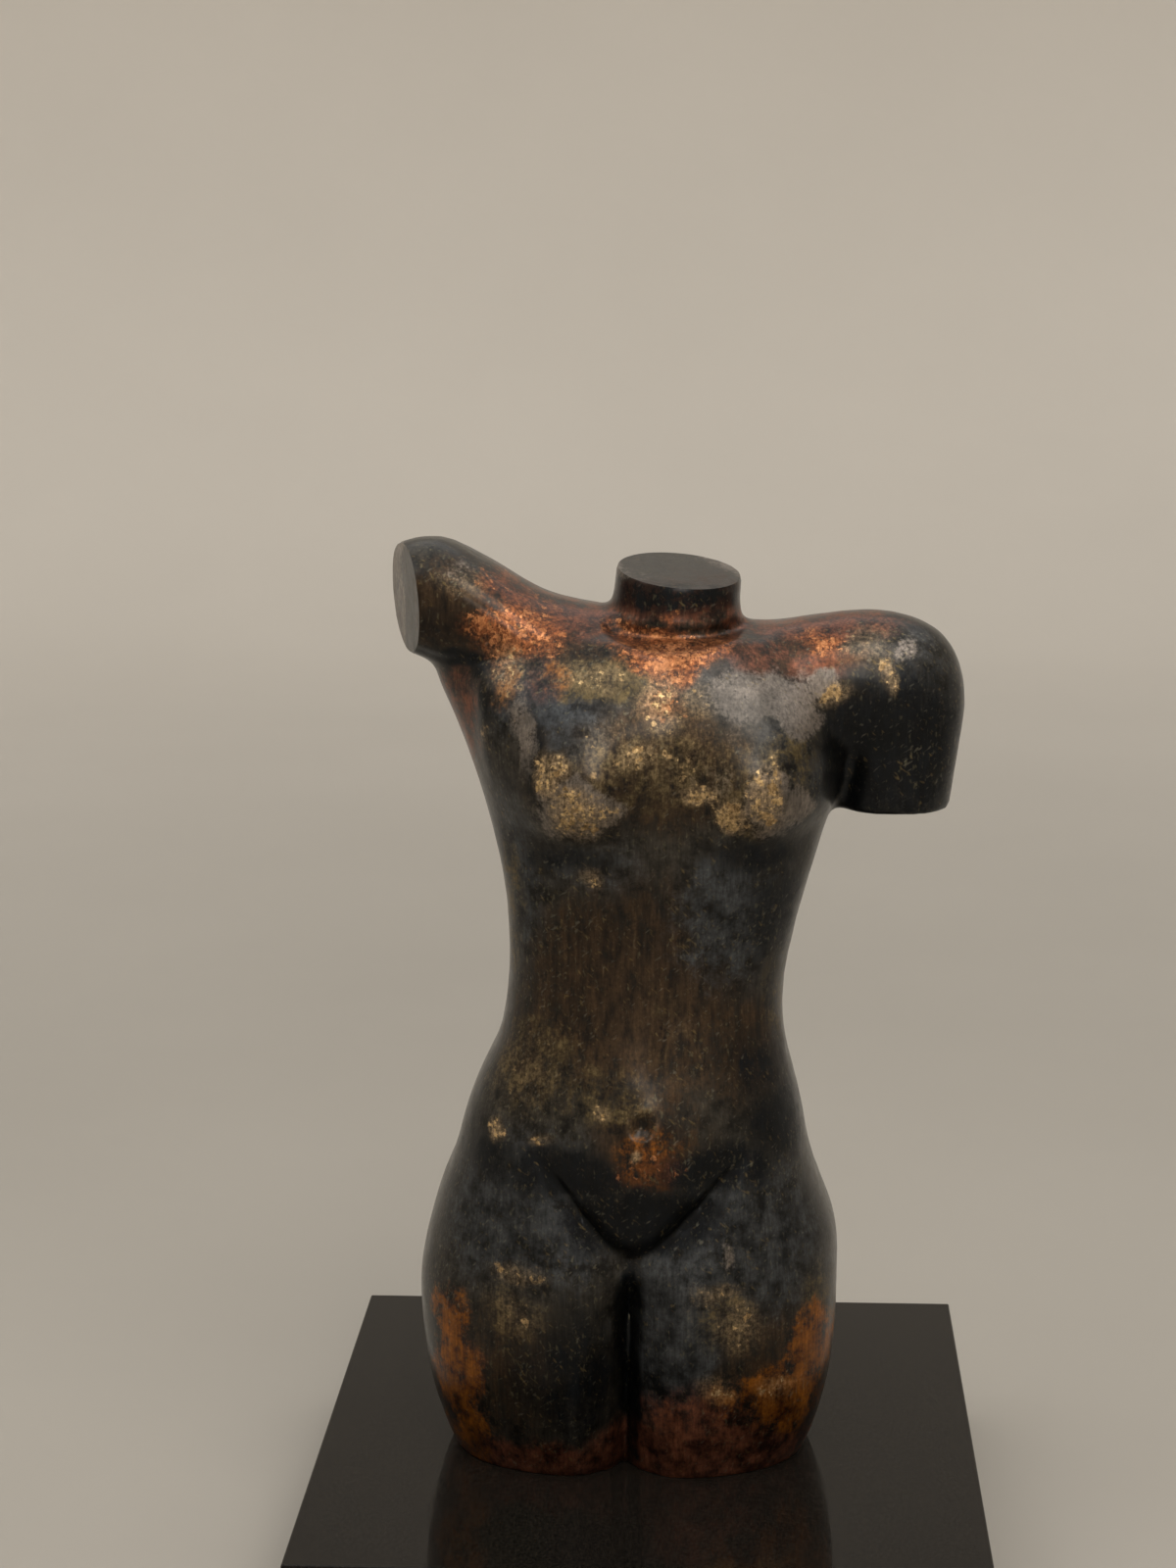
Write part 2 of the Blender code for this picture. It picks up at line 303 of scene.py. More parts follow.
# %% Ridges and soft edges
def bell(distance, spread):
    """One at distance zero, and nothing a few spreads away."""
    return np.exp(-((distance / spread) ** 2))


def ridge(distance, height, spread):
    """How far a soft ridge pushes out, in millimetres, at a distance from its crest."""
    return height * bell(distance, spread)


def step_up(value, low, high):
    """Zero below low, one above high, and smooth between."""
    t = np.clip((value - low) / (high - low), 0, 1)
    return t * t * (3 - 2 * t)


def step_down(value, low, high):
    """One below low, zero above high, and smooth between."""
    return 1 - step_up(value, low, high)


def figure_mm(places):
    """Metres in the row's frame to millimetres from the middle of the plinth's top."""
    return (places - np.array((0, 0, PLINTH_TOP))) / MM


spots = figure_mm(points)
x, y, z = spots.T
facing = read_normals(skin.data)
in_front = step_up(-facing[:, 1], low=-0.1, high=0.5)
behind = step_up(facing[:, 1], low=-0.1, high=0.5)
push_out = np.zeros(len(points))
print("the skin spans", spots.min(0).round(), spots.max(0).round(), "mm")

# %% The midline and the curve of the groin
MIDLINE_HEIGHTS = [0, 100, 180, 260, 330, 400, 470, 535]
MIDLINE_ACROSS = [-12, -9, -3, 2, 5, 10, 11, 19]
GROIN_FOOT = 117
GROIN_ROUND = 20
GROIN_SLOPE = 1.33
GROIN_TILT = 1.66

side = x - np.interp(z, MIDLINE_HEIGHTS, MIDLINE_ACROSS)
above_groin = (z - GROIN_FOOT - np.hypot(GROIN_SLOPE * side, GROIN_ROUND)) / GROIN_TILT
along_groin = step_down(np.abs(side), low=34, high=72)
below_groin = step_down(z, low=112, high=136)
print("the groin's curve is lowest at", GROIN_FOOT + GROIN_ROUND, "mm")

# %% Calm the deep creases, where the facets still show
CREASE_ROUNDS = 14
THIGH_TOP = 133
ARM_CREASE_ACROSS = 114
between_thighs = bell(side, spread=7) * step_down(z, low=135, high=160)
in_groin = 0.6 * bell(above_groin, spread=6) * along_groin * in_front
in_back = 0.9 * bell(side, spread=9) * behind * step_up(z, low=120, high=150)
in_back *= step_down(z, low=440, high=480)
on_thighs = 0.6 * bell(z - THIGH_TOP, spread=9) * in_front * step_down(np.abs(side), low=50, high=80)
by_arm = bell(x - ARM_CREASE_ACROSS, spread=8) * step_up(z, low=392, high=402)
by_arm *= step_down(z, low=462, high=480)
calm = np.maximum.reduce([between_thighs, in_groin, in_back, on_thighs, by_arm])
points = soften(points, calm, CREASE_ROUNDS)
print("calmed", int((calm > 0.3).sum()), "points")

# %% The seam round the foot of the neck
NECK_MIDDLE = 18
NECK_HALF = 40
SEAM_SIDE_HEIGHT = 507
SEAM_DIP = 4
LIP_ABOVE_SEAM = 5.5
across_neck = (x - NECK_MIDDLE) / NECK_HALF
seam_height = SEAM_SIDE_HEIGHT - SEAM_DIP * np.sqrt(np.clip(1 - across_neck ** 2, 0, 1))
round_front = step_up(-y, low=-2, high=14) * step_down(np.abs(across_neck), low=0.92, high=1.12)
lip = ridge(z - seam_height - LIP_ABOVE_SEAM, height=1.2, spread=3.4)
seam = ridge(z - seam_height, height=-2.4, spread=2.7)
push_out += round_front * (lip + seam)
print("the seam is", seam_height.min().round(), "mm high in front and", SEAM_SIDE_HEIGHT, "at the sides")

# %% The navel and the knob below it
NAVEL_HEIGHT = 221
NAVEL_RIM = 7.5
KNOB_HEIGHT = 205
from_navel = np.hypot(side + 1, (z - NAVEL_HEIGHT) * 0.9)
rim = ridge(from_navel - NAVEL_RIM, height=0.9, spread=2.6)
hollow = ridge(from_navel, height=-2.0, spread=4.2)
knob = ridge(np.hypot(side, (z - KNOB_HEIGHT) * 0.8), height=0.9, spread=5)
push_out += in_front * (rim + hollow + knob)
print("the navel is", NAVEL_HEIGHT, "mm up, with a rim", 2 * NAVEL_RIM, "mm across")

# %% The groin and the parting of the thighs
FOLD_ABOVE_GROIN = 4
PARTING_LIP = 8
fold = ridge(above_groin - FOLD_ABOVE_GROIN, height=1.2, spread=5)
crease = ridge(above_groin, height=-1.8, spread=2.6)
push_out += in_front * along_groin * (fold + crease)
sunk = ridge(side, height=3.4, spread=3.6) + ridge(np.abs(side) - PARTING_LIP, height=-1.0, spread=3.6)
from_front = step_up(-y, low=15, high=40) - 0.7 * step_up(y, low=15, high=40)
points[:, 1] += MM * below_groin * sunk * from_front
print("the parting is sunk by up to", sunk.max().round(1), "mm")

# %% The ledge under the raised arm
LEDGE_ACROSS = [-136, -120, -103, -95, -91, -91, -89, -87]
LEDGE_HEIGHTS = [494, 488, 486, 478, 464, 440, 416, 396]


def along_line(line):
    """Each point's distance from a line of straight runs and its place along them, seen from the front."""
    nearest = np.full(len(x), np.inf)
    runs_along = np.zeros(len(x))
    for run, (start, stop) in enumerate(zip(line, line[1:])):
        run_x, run_z = stop[0] - start[0], stop[1] - start[1]
        from_x, from_z = x - start[0], z - start[1]
        share = np.clip((from_x * run_x + from_z * run_z) / (run_x ** 2 + run_z ** 2), 0, 1)
        distance = np.hypot(from_x - share * run_x, from_z - share * run_z)
        runs_along = np.where(distance < nearest, run + share, runs_along)
        nearest = np.minimum(nearest, distance)
    return nearest, runs_along


from_ledge, runs_along = along_line(list(zip(LEDGE_ACROSS, LEDGE_HEIGHTS)))
on_front = step_up(-facing[:, 1], low=-0.3, high=0.3) * step_down(runs_along, low=4.5, high=7)
crest = ridge(from_ledge, height=1.3, spread=5)
undercut = ridge(from_ledge, height=-1.1, spread=2.6) * step_down(runs_along, low=1.5, high=4)
push_out += on_front * (crest + undercut)
print("the ledge has", len(LEDGE_ACROSS) - 1, "runs")

# %% The waviness of the wax
WAVES = ((34, 0.40, 1), (13, 0.16, 2), (5, 0.05, 3))


def waviness(places, size, seed):
    """Smooth random hills, from about -1 to 1, of the given size in millimetres."""
    offset = Vector((seed * 7.3, seed * 3.1, seed * 1.7))
    return np.array([noise.noise(Vector(p) / size + offset) for p in places])


for size, height, seed in WAVES:
    push_out += height * waviness(spots, size, seed)
end_middle, end_away = (np.array(part) for part in soft_end[:2])
from_end = (end_middle - points) @ end_away / MM
on_end = step_down(from_end, low=3, high=6) * step_up(facing @ end_away, low=0.2, high=0.7)
on_end *= step_up(x, low=108, high=116)
push_out *= 1 - on_end
print("relief from", round(push_out.min(), 2), "to", round(push_out.max(), 2), "mm")

# %% Push the skin out and in
RELIEF_ROUNDS = 5
PARTING_ROUNDS = 5
points = smooth_out_and_in(points + facing * (push_out * MM)[:, None], RELIEF_ROUNDS)
by_parting = 0.7 * bell(side, spread=9) * step_down(z, low=150, high=180)
points = soften(points, by_parting, PARTING_ROUNDS)
write_points(skin.data, points)
print("softened", int((by_parting > 0.3).sum()), "points by the parting")

# %% [markdown]
# ## The sawn ends
#
# The neck, the raised arm and the foot are sawn flat, and a file has eased their rims. A Boolean with a block
# takes the drawn-out waste off again, which leaves a truly flat face with a hard rim. A bevel would trip over
# the uneven faces along the cut, so the points near the rim are drawn in by less than a millimetre instead.

# %% Saw the ends off again
WASTE_MARGIN = 2.2


def saw(piece, middle, away, width):
    """Takes off what lies beyond a plane and leaves a flat end."""
    mesh = bpy.data.meshes.new("waste")
    block = bmesh.new()
    bmesh.ops.create_cube(block, size=1)
    bmesh.ops.scale(block, vec=(width, width, 2 * DRAW_OUT), verts=block.verts)
    bmesh.ops.translate(block, vec=(0, 0, DRAW_OUT), verts=block.verts)
    block.to_mesh(mesh)
    block.free()
    waste = bpy.data.objects.new("waste", mesh)
    bpy.context.scene.collection.objects.link(waste)
    waste.location = middle
    waste.rotation_mode = "QUATERNION"
    waste.rotation_quaternion = away.to_track_quat("Z", "Y")
    cut = piece.modifiers.new("saw", "BOOLEAN")
    cut.operation = "DIFFERENCE"
    cut.solver = "EXACT"
    cut.object = waste
    settle(piece)
    bpy.data.objects.remove(waste)


for middle, away, faces, area in saw_cuts:
    saw(skin, middle, away, WASTE_MARGIN * math.sqrt(area))
print("sawn, now", len(skin.data.polygons), "faces")

# %% Ease the sawn rims
RIM_EASE = 0.7 * MM
RIM_REACH = 2.6 * MM
RIM_NEAR = 1.3 * RIM_REACH
ON_PLANE = 0.02 * MM
LEAST_OUTWARD = 0.2


def ease_rim(points, facing, middle, away):
    """Draws the points by one cut's rim inwards, the more the nearer they are to the cut."""
    inside = (middle - points) @ away
    cut_face = kdtree.KDTree(len(points))
    for number in np.flatnonzero(np.abs(inside) < ON_PLANE):
        cut_face.insert(points[number], int(number))
    cut_face.balance()
    for number in np.flatnonzero((inside > -ON_PLANE) & (inside < RIM_REACH)):
        if cut_face.find(points[number])[2] > RIM_NEAR:
            continue
        outward = facing[number] - (facing[number] @ away) * away
        length = np.linalg.norm(outward)
        if length > LEAST_OUTWARD:
            points[number] -= outward / length * RIM_EASE * (1 - inside[number] / RIM_REACH) ** 2


points = read_points(skin.data)
facing = read_normals(skin.data)
for middle, away, faces, area in saw_cuts:
    ease_rim(points, facing, np.array(middle), np.array(away))
print("eased", len(saw_cuts), "rims")

# %% Put the skin in the casting's place
INSIDE_BOX = 0.01 * MM
SHARP_FROM = math.radians(42)
points = np.clip(points, np.array(cad_low) + INSIDE_BOX, np.array(cad_high) - INSIDE_BOX)
write_points(skin.data, points)
skin.data.shade_smooth()
skin.data.set_sharp_from_angle(angle=SHARP_FROM)
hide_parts("torso")
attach(skin, "root")
triangles = sum(len(face.vertices) - 2 for face in skin.data.polygons)
print("the skin has", triangles, "triangles")

# %% [markdown]
# ## Where each colour lies
#
# The founder brushes the hot bronze with acids, lays torn gold and copper leaf over it and seals it with
# clear lacquer. Painting that by hand would need an image, so each colour is a list of soft spots on the
# figure instead. A spot is its place across, in depth and in height, then its reach each way, all in
# millimetres, and how strong it is. The spots become numbers on the skin's points, and the material later
# breaks up their edges. Some lists are painted light rather than the metal's colour: one paints shade in the
# creases and hollows along with the hanging arm's dark patina, one paints the lacquer's reflections and
# highlights as grey patches, and the slate list paints a little of both.

# %% The acids' colours, with a little painted sheen and shade
# Slate patina, except two spots of painted light: (16, -88, 95) is a painted sheen on the front of the
# left thigh, and (-30, -70, 372) is painted shade under the right breast.
SLATE_SHEEN_AND_SHADE = [
    (-58, -66, 468, 42, 45, 20, 0.9), (-36, -82, 447, 22, 45, 16, 0.8), (90, -55, 434, 28, 50, 30, 0.9),
    (56, -66, 342, 36, 45, 42, 0.9), (-78, -50, 362, 20, 60, 50, 0.8), (-75, -75, 165, 62, 45, 46, 1.0),
    (66, -78, 150, 60, 45, 44, 1.0), (16, -88, 95, 26, 45, 54, 1.3), (152, -10, 440, 46, 70, 56, 0.9),
    (-30, -70, 372, 34, 40, 16, 0.6), (40, -50, 484, 44, 40, 14, 0.5), (0, 55, 270, 70, 45, 52, 0.8),
    (60, 80, 125, 50, 45, 50, 0.9), (-70, 60, 330, 40, 50, 50, 0.6),
]
UMBER = [
    (-4, -69, 300, 66, 45, 64, 1.0), (0, -75, 432, 60, 45, 34, 1.0), (60, -60, 262, 36, 45, 34, 0.8),
    (-66, -66, 262, 30, 45, 30, 0.7), (-112, -34, 518, 28, 34, 26, 1.2), (60, -30, 490, 50, 50, 16, 0.9),
    (-50, -30, 500, 40, 50, 16, 0.8), (2, -83, 214, 32, 40, 36, 0.9), (-80, -80, 70, 40, 50, 50, 0.6),
    (70, -76, 80, 40, 50, 40, 0.7), (-20, 60, 370, 60, 45, 56, 0.9), (-40, 85, 150, 40, 40, 34, 0.6),
    (0, 30, 500, 90, 40, 26, 0.8),
]
OLIVE = [
    (-66, -66, 252, 34, 45, 30, 0.5), (-22, -62, 482, 36, 40, 12, 0.8), (-76, -84, 108, 26, 45, 30, 0.42),
    (50, -86, 104, 26, 45, 26, 0.42), (82, -78, 418, 14, 40, 22, 0.7), (4, -76, 430, 56, 40, 24, 0.6),
    (88, -66, 442, 22, 40, 18, 0.6), (-40, -86, 412, 26, 40, 18, 0.7), (66, -82, 410, 26, 40, 18, 0.6),
    (14, -70, 275, 16, 40, 34, 0.3), (-20, -82, 236, 30, 40, 20, 0.5), (104, -45, 92, 12, 40, 30, 0.7),
    (-82, -35, 345, 12, 50, 50, 0.6), (82, -35, 300, 12, 50, 50, 0.5), (40, 60, 330, 40, 40, 30, 0.6),
    (-60, 70, 90, 34, 40, 30, 0.6),
]
print("acid spots:", len(SLATE_SHEEN_AND_SHADE), len(UMBER), len(OLIVE))

# %% The iron patinas and the painted shade
RUSSET = [
    (-66, -4, 530, 34, 60, 14, 0.65), (-40, -10, 512, 40, 60, 14, 0.7), (92, -4, 508, 60, 60, 12, 0.8),
    (62, -36, 492, 30, 50, 12, 0.5), (104, -34, 486, 26, 50, 12, 0.65), (-104, -12, 456, 18, 34, 34, 0.95),
    (-94, 6, 424, 16, 24, 30, 0.6), (-108, 16, 478, 16, 24, 14, 0.6), (20, -25, 522, 46, 60, 14, 0.8),
    (-66, -60, 6, 60, 90, 15, 1.4), (34, -66, 12, 64, 90, 20, 1.4), (30, -85, 40, 34, 50, 20, 0.8),
    (-112, -58, 62, 14, 50, 30, 0.8), (6, -84, 226, 28, 45, 30, 0.2), (60, 45, 12, 70, 60, 18, 0.9),
    (-60, 45, 12, 70, 60, 16, 0.9), (-56, -54, 480, 14, 40, 12, 0.45),
]
AMBER = [
    (-116, -58, 90, 13, 50, 22, 0.9), (-113, -54, 58, 14, 50, 34, 0.9), (-106, -62, 20, 16, 50, 22, 0.8),
    (62, -80, 52, 26, 50, 14, 0.7), (86, -66, 48, 24, 50, 24, 1.0), (100, -54, 76, 14, 50, 26, 0.9),
    (-52, -60, 484, 12, 40, 9, 0.4), (-82, -52, 480, 14, 40, 16, 0.55), (6, -85, 200, 22, 40, 20, 0.6),
    (-112, 25, 80, 20, 40, 44, 0.8), (100, 30, 66, 20, 40, 40, 0.8), (-38, 72, 250, 24, 40, 16, 0.5),
]
# Painted shade: dark spots in the groin, the parting of the thighs, under the breasts, along the raised arm's
# ledge and stump, round the foot of the neck and down the back, and dark patina on the hanging arm.
SHADE_AND_DARK_PATINA = [
    (-3, -84, 163, 42, 40, 20, 1.3), (-42, -82, 190, 36, 40, 14, 1.0), (42, -78, 194, 38, 40, 15, 1.0),
    (85, -60, 216, 26, 50, 24, 0.9), (-90, -55, 196, 18, 50, 14, 0.8), (70, -66, 250, 20, 50, 24, 0.6),
    (-40, -88, 72, 26, 40, 50, 0.7), (-66, -84, 62, 22, 40, 26, 0.5), (-9, -80, 66, 7, 40, 72, 1.0),
    (142, -22, 436, 46, 60, 46, 1.0), (162, 20, 430, 46, 60, 50, 0.9), (-118, -32, 506, 22, 34, 16, 0.45),
    (-108, -34, 487, 32, 30, 5, 1.0), (-93, -48, 468, 5, 30, 20, 0.9), (-45, -72, 377, 32, 40, 10, 0.55),
    (68, -68, 380, 30, 40, 13, 0.7), (-62, -74, 438, 6, 40, 26, 0.8), (20, -25, 525, 44, 50, 12, 0.85),
    (78, -50, 336, 20, 50, 34, 0.7), (5, 70, 90, 14, 40, 70, 0.9), (4, 60, 380, 10, 30, 80, 0.6),
    (-60, 75, 180, 40, 40, 24, 0.6),
]
print("iron spots:", len(RUSSET), len(AMBER), len(SHADE_AND_DARK_PATINA))

# %% The leaf and the painted sheen
COPPER = [
    (-76, -40, 508, 24, 40, 15, 1.0), (-66, -44, 499, 16, 40, 10, 0.8), (-84, -44, 496, 12, 40, 12, 0.7),
    (-10, -34, 502, 16, 40, 7, 0.7), (18, -45, 495, 29, 40, 8, 1.15), (16, -56, 488, 12, 40, 12, 0.9),
    (12, -68, 468, 12, 40, 14, 0.6), (44, -38, 498, 13, 40, 6, 0.35), (100, -28, 498, 11, 40, 6, 0.85),
    (18, -38, 511, 8, 40, 6, 0.42), (4, -87, 198, 18, 40, 16, 0.34), (-88, -10, 534, 16, 40, 10, 0.4),
    (-58, -8, 524, 22, 40, 8, 0.25), (-62, 56, 474, 20, 34, 10, 0.8), (-40, 64, 458, 16, 34, 11, 0.8),
    (-22, 62, 470, 14, 30, 7, 0.6), (12, 54, 486, 24, 30, 6, 0.6), (14, 46, 252, 14, 34, 8, 0.6),
    (34, 50, 240, 14, 34, 10, 0.5),
]
GOLD = [
    (10, -66, 470, 12, 40, 18, 0.55), (12, -74, 456, 12, 40, 10, 0.5), (28, -64, 470, 10, 40, 12, 0.35),
    (-36, -88, 408, 17, 40, 14, 0.8), (-40, -87, 413, 14, 40, 10, 1.1), (-56, -82, 428, 6, 40, 10, 0.85),
    (-50, -80, 434, 6, 40, 6, 1.0), (50, -82, 406, 9, 40, 10, 1.25), (70, -81, 415, 11, 40, 17, 0.86),
    (78, -80, 420, 4, 40, 14, 1.0), (33, -80, 419, 10, 40, 6, 1.0), (-20, -80, 444, 24, 40, 20, 0.28),
    (20, -76, 436, 36, 40, 24, 0.28), (0, -78, 440, 14, 40, 9, 0.5), (126, -30, 492, 18, 40, 13, 0.34),
    (139, -34, 480, 5, 40, 10, 0.75), (112, -38, 468, 10, 40, 6, 0.6), (-106, -26, 535, 16, 40, 6, 0.35),
    (-80, -54, 484, 13, 40, 14, 0.45), (-31, -72, 365, 7, 40, 6, 0.5), (-86, -65, 213, 4, 40, 7, 0.8),
    (-60, -77, 208, 8, 40, 5, 0.45), (-25, -82, 230, 5, 40, 7, 0.55), (-74, -84, 130, 18, 40, 6, 0.45),
    (-74, -85, 104, 16, 40, 16, 0.3), (46, -87, 120, 16, 40, 7, 0.45), (56, -86, 98, 14, 40, 16, 0.4),
    # The tiny spot at (-2, -88, 204) is a painted glint on the knob below the navel.
    (44, -87, 58, 12, 40, 10, 0.4), (78, -74, 56, 12, 40, 10, 0.4), (-2, -88, 204, 3, 40, 3, 1.0),
    (-70, -66, 250, 24, 40, 24, 0.25), (-30, -60, 484, 26, 40, 8, 0.35), (-92, -50, 448, 4, 40, 10, 0.3),
    (-52, 68, 444, 10, 34, 8, 0.9), (-35, 68, 435, 8, 34, 12, 0.7), (-8, 62, 450, 14, 30, 6, 0.5),
    (50, 66, 436, 10, 34, 12, 0.8), (66, 64, 416, 8, 34, 14, 0.9), (40, 66, 406, 10, 30, 7, 0.5),
    (-66, 88, 146, 12, 34, 7, 0.8), (-46, 90, 136, 12, 34, 8, 0.7), (-28, 90, 152, 10, 30, 5, 0.5),
    (52, 92, 150, 16, 34, 7, 0.6), (12, 60, 350, 30, 34, 20, 0.4),
]
# Painted sheen: grey patches that paint the lacquer's reflections and highlights on the left chest, the
# shoulders, the raised arm's stump and sawn end and the cut neck, with a few more on the breasts and the
# back.
PAINTED_SHEEN = [
    (72, -57, 472, 34, 40, 15, 1.0), (90, -58, 458, 16, 40, 12, 0.9), (100, -36, 476, 14, 40, 9, 0.8),
    (52, -66, 452, 18, 40, 12, 0.4), (154, -24, 492, 12, 36, 9, 0.55), (-106, -30, 540, 18, 30, 6, 0.42),
    (-149, -6, 521, 6, 60, 40, 1.6), (19, 0, 538, 60, 60, 4, 0.75), (-38, -86, 411, 24, 40, 18, 1.1),
    (76, -80, 412, 17, 40, 18, 1.2), (-68, -72, 450, 9, 40, 26, 0.7), (50, -83, 144, 6, 40, 12, 0.6),
    (40, -78, 428, 20, 40, 14, 0.4), (66, 60, 466, 34, 34, 16, 0.9), (-100, 50, 480, 20, 30, 16, 0.6),
]
print("leaf spots:", len(COPPER), len(GOLD), len(PAINTED_SHEEN))

# %% Put the colours on the points
# The painted shade is stored with the iron colours, and the painted sheen with the leaf, in the same
# attributes.
LAYERS = {
    "acids": {"slate_sheen_and_shade": SLATE_SHEEN_AND_SHADE, "umber": UMBER, "olive": OLIVE},
    "irons_and_shade": {"russet": RUSSET, "amber": AMBER, "shade_and_dark_patina": SHADE_AND_DARK_PATINA},
    "leaves": {"copper": COPPER, "gold": GOLD, "painted_sheen": PAINTED_SHEEN},
}
DRIFTS = ((26, 7), (10, 3))
DRIFT_SEEDS = (4, 5, 6)
SPOT_CORE = 0.2
SPOT_END = 1.8


def strength_of(colour_spots):
    """How much of one colour each point has: most in a spot's core and nothing past its end."""
    strength = np.zeros(len(wandering))
    for across, depth, height, reach_x, reach_y, reach_z, full in colour_spots:
        away = (wandering - np.array((across, depth, height))) / np.array((reach_x, reach_y, reach_z))
        near = step_down(np.linalg.norm(away, axis=1), SPOT_CORE, SPOT_END)
        strength = np.maximum(strength, full * near)
    return strength


def keep_on_points(name, strengths):
    """Stores up to three strengths as one colour attribute of the skin."""
    values = np.ones((len(points), 4), dtype=np.float32)
    for channel, strength in enumerate(strengths):
        values[:, channel] = strength
    layer = skin.data.attributes.new(name, "FLOAT_COLOR", "POINT")
    layer.data.foreach_set("color", values.ravel())
    print(name, "cover", [round(float(s.mean()), 3) for s in strengths])


spots = figure_mm(points)
wandering = spots.copy()
for size, reach in DRIFTS:
    wandering += reach * np.column_stack([waviness(spots, size, seed) for seed in DRIFT_SEEDS])
for name, colours in LAYERS.items():
    keep_on_points(name, [strength_of(colour_spots) for colour_spots in colours.values()])

# %% [markdown]
# ## Patinated bronze
#
# Cast silicon bronze, brown-black from acids and heat. The metal keeps the default IOR. Patina dulls it, so
# it is mostly metal but dark and fairly rough, and the bristles of the brush leave fine upright streaks.
# Noise of several lump sizes makes all of this. The sizes are real ones in millimetres, except that bristle
# marks are drawn twice as coarse as real ones, because finer ones wouldn't show in the render.

# %% The grain of the patina
HILL_MM = 42
MOTTLE_MM = 11
STREAK_MM = 6
GRIT_MM = 2.4
BRISTLE_MM = 1.6
STREAK_DRAWN = 4
BRISTLE_DRAWN = 12

bronze, tree, shader, place = new_material("patinated silicon bronze")
grains = []
for size, detail, roughness, drawn_out in (
    (HILL_MM, 3, 0.50, 1),
    (MOTTLE_MM, 5, 0.62, 1),
    (GRIT_MM, 4, 0.70, 1),
    (STREAK_MM, 4, 0.65, STREAK_DRAWN),
    (BRISTLE_MM, 3, 0.60, BRISTLE_DRAWN),
):
    stretched = add(
        tree, "ShaderNodeMapping", {"vector_type": "TEXTURE", "Scale": (1, 1, drawn_out)}, {"Vector": place}
    )
    lumps = {"Scale": 1000 / size, "Detail": detail, "Roughness": roughness}
    grains.append(add(tree, "ShaderNodeTexNoise", lumps, {"Vector": stretched}))
hills, mottle, grit, streaks, bristles = grains
ragged = weighed_sum(tree, -2.9, (streaks, 1.4), (grit, 2.0), (mottle, 2.4))
print("lumps of", HILL_MM, MOTTLE_MM, STREAK_MM, GRIT_MM, "mm, bristles of", BRISTLE_MM, "mm")

# %% [markdown]
# ## One colour over another
#
# A patina is laid in coats: each covers the last where the brush went, with a ragged edge, and has a darker
# and a lighter tone of its own. Leaf is different. It tears into scraps, and each scrap is there or isn't, so
# it is made of cells, bent by noise so that none has a straight side.

# %% Lay a coat of colour
TONES = {"From Min": 0.36, "From Max": 0.64}


def lay(under, strength, dark, light, grain, raggedness, softness, opacity=1.0):
    """One colour over another where its strength, made uneven, passes a half. Gives the new colour."""
    uneven = weighed_sum(tree, 1.0, (ragged, 2 * raggedness))
    brushed = add(tree, "ShaderNodeMath", {"operation": "MULTIPLY"}, {0: strength, 1: uneven})
    edge = {"interpolation_type": "SMOOTHSTEP", "From Min": 0.5 - softness, "From Max": 0.5 + softness}
    cover = add(tree, "ShaderNodeMapRange", {**edge, "To Max": opacity}, {"Value": brushed})
    tone = add(tree, "ShaderNodeMapRange", TONES, {"Value": grain})
    paint = add(tree, "ShaderNodeMix", {"data_type": "RGBA", 6: linear(dark), 7: linear(light)}, {0: tone})
    laid = add(tree, "ShaderNodeMix", {"data_type": "RGBA"}, {0: cover, 6: under, 7: paint.outputs[2]})
    return laid.outputs[2]


print("a coat covers where its strength passes a half")

# %% Lay torn leaf
CRUMPLE = 1.1
BEND = 1.3
LUCK = 0.9
TORN_EDGE = 0.06


def torn_leaf(under, strength, size_mm, share, dark, light):
    """Scraps of leaf where the strength beats each cell's own number. Gives the new colour and the cover."""
    lumps = {"Scale": 1000 / (size_mm * CRUMPLE), "Detail": 3, "Roughness": 0.6}
    crumple = add(tree, "ShaderNodeTexNoise", lumps, {"Vector": place}).outputs["Color"]
    amount = (size_mm * BEND * MM,) * 3
    bending = {"operation": "MULTIPLY_ADD", 1: amount}
    bent = add(tree, "ShaderNodeVectorMath", bending, {0: crumple, 2: place})
    cells = add(tree, "ShaderNodeTexVoronoi", {"Scale": 1000 / size_mm}, {"Vector": bent})
    numbers = add(tree, "ShaderNodeSeparateColor", None, {"Color": cells.outputs["Color"]}).outputs
    squared = add(tree, "ShaderNodeMath", {"operation": "MULTIPLY"}, {0: strength, 1: strength})
    luck = weighed_sum(tree, share, (ragged, LUCK))
    chance = add(tree, "ShaderNodeMath", {"operation": "MULTIPLY"}, {0: squared, 1: luck})
    beats = add(tree, "ShaderNodeMath", {"operation": "SUBTRACT"}, {0: chance, 1: numbers[0]})
    cover = add(tree, "ShaderNodeMapRange", {"From Max": TORN_EDGE}, {"Value": beats})
    crease = weighed_sum(tree, -0.5, (grit, 1.6), (numbers[1], 0.5))
    tone = add(tree, "ShaderNodeMapRange", {"From Min": 0.1, "From Max": 0.9}, {"Value": crease})
    foil = add(tree, "ShaderNodeMix", {"data_type": "RGBA", 6: linear(dark), 7: linear(light)}, {0: tone})
    laid = add(tree, "ShaderNodeMix", {"data_type": "RGBA"}, {0: cover, 6: under, 7: foil.outputs[2]})
    return laid.outputs[2], cover


print("scraps tear over", TORN_EDGE, "of the strength")

# %% Lay the acid and iron colours, the painted shade and the painted sheen
strengths = {}
for name, colours in LAYERS.items():
    stored = add(tree, "ShaderNodeAttribute", {"attribute_name": name}).outputs["Color"]
    channels = add(tree, "ShaderNodeSeparateColor", None, {"Color": stored}).outputs
    strengths.update(zip(colours, channels))

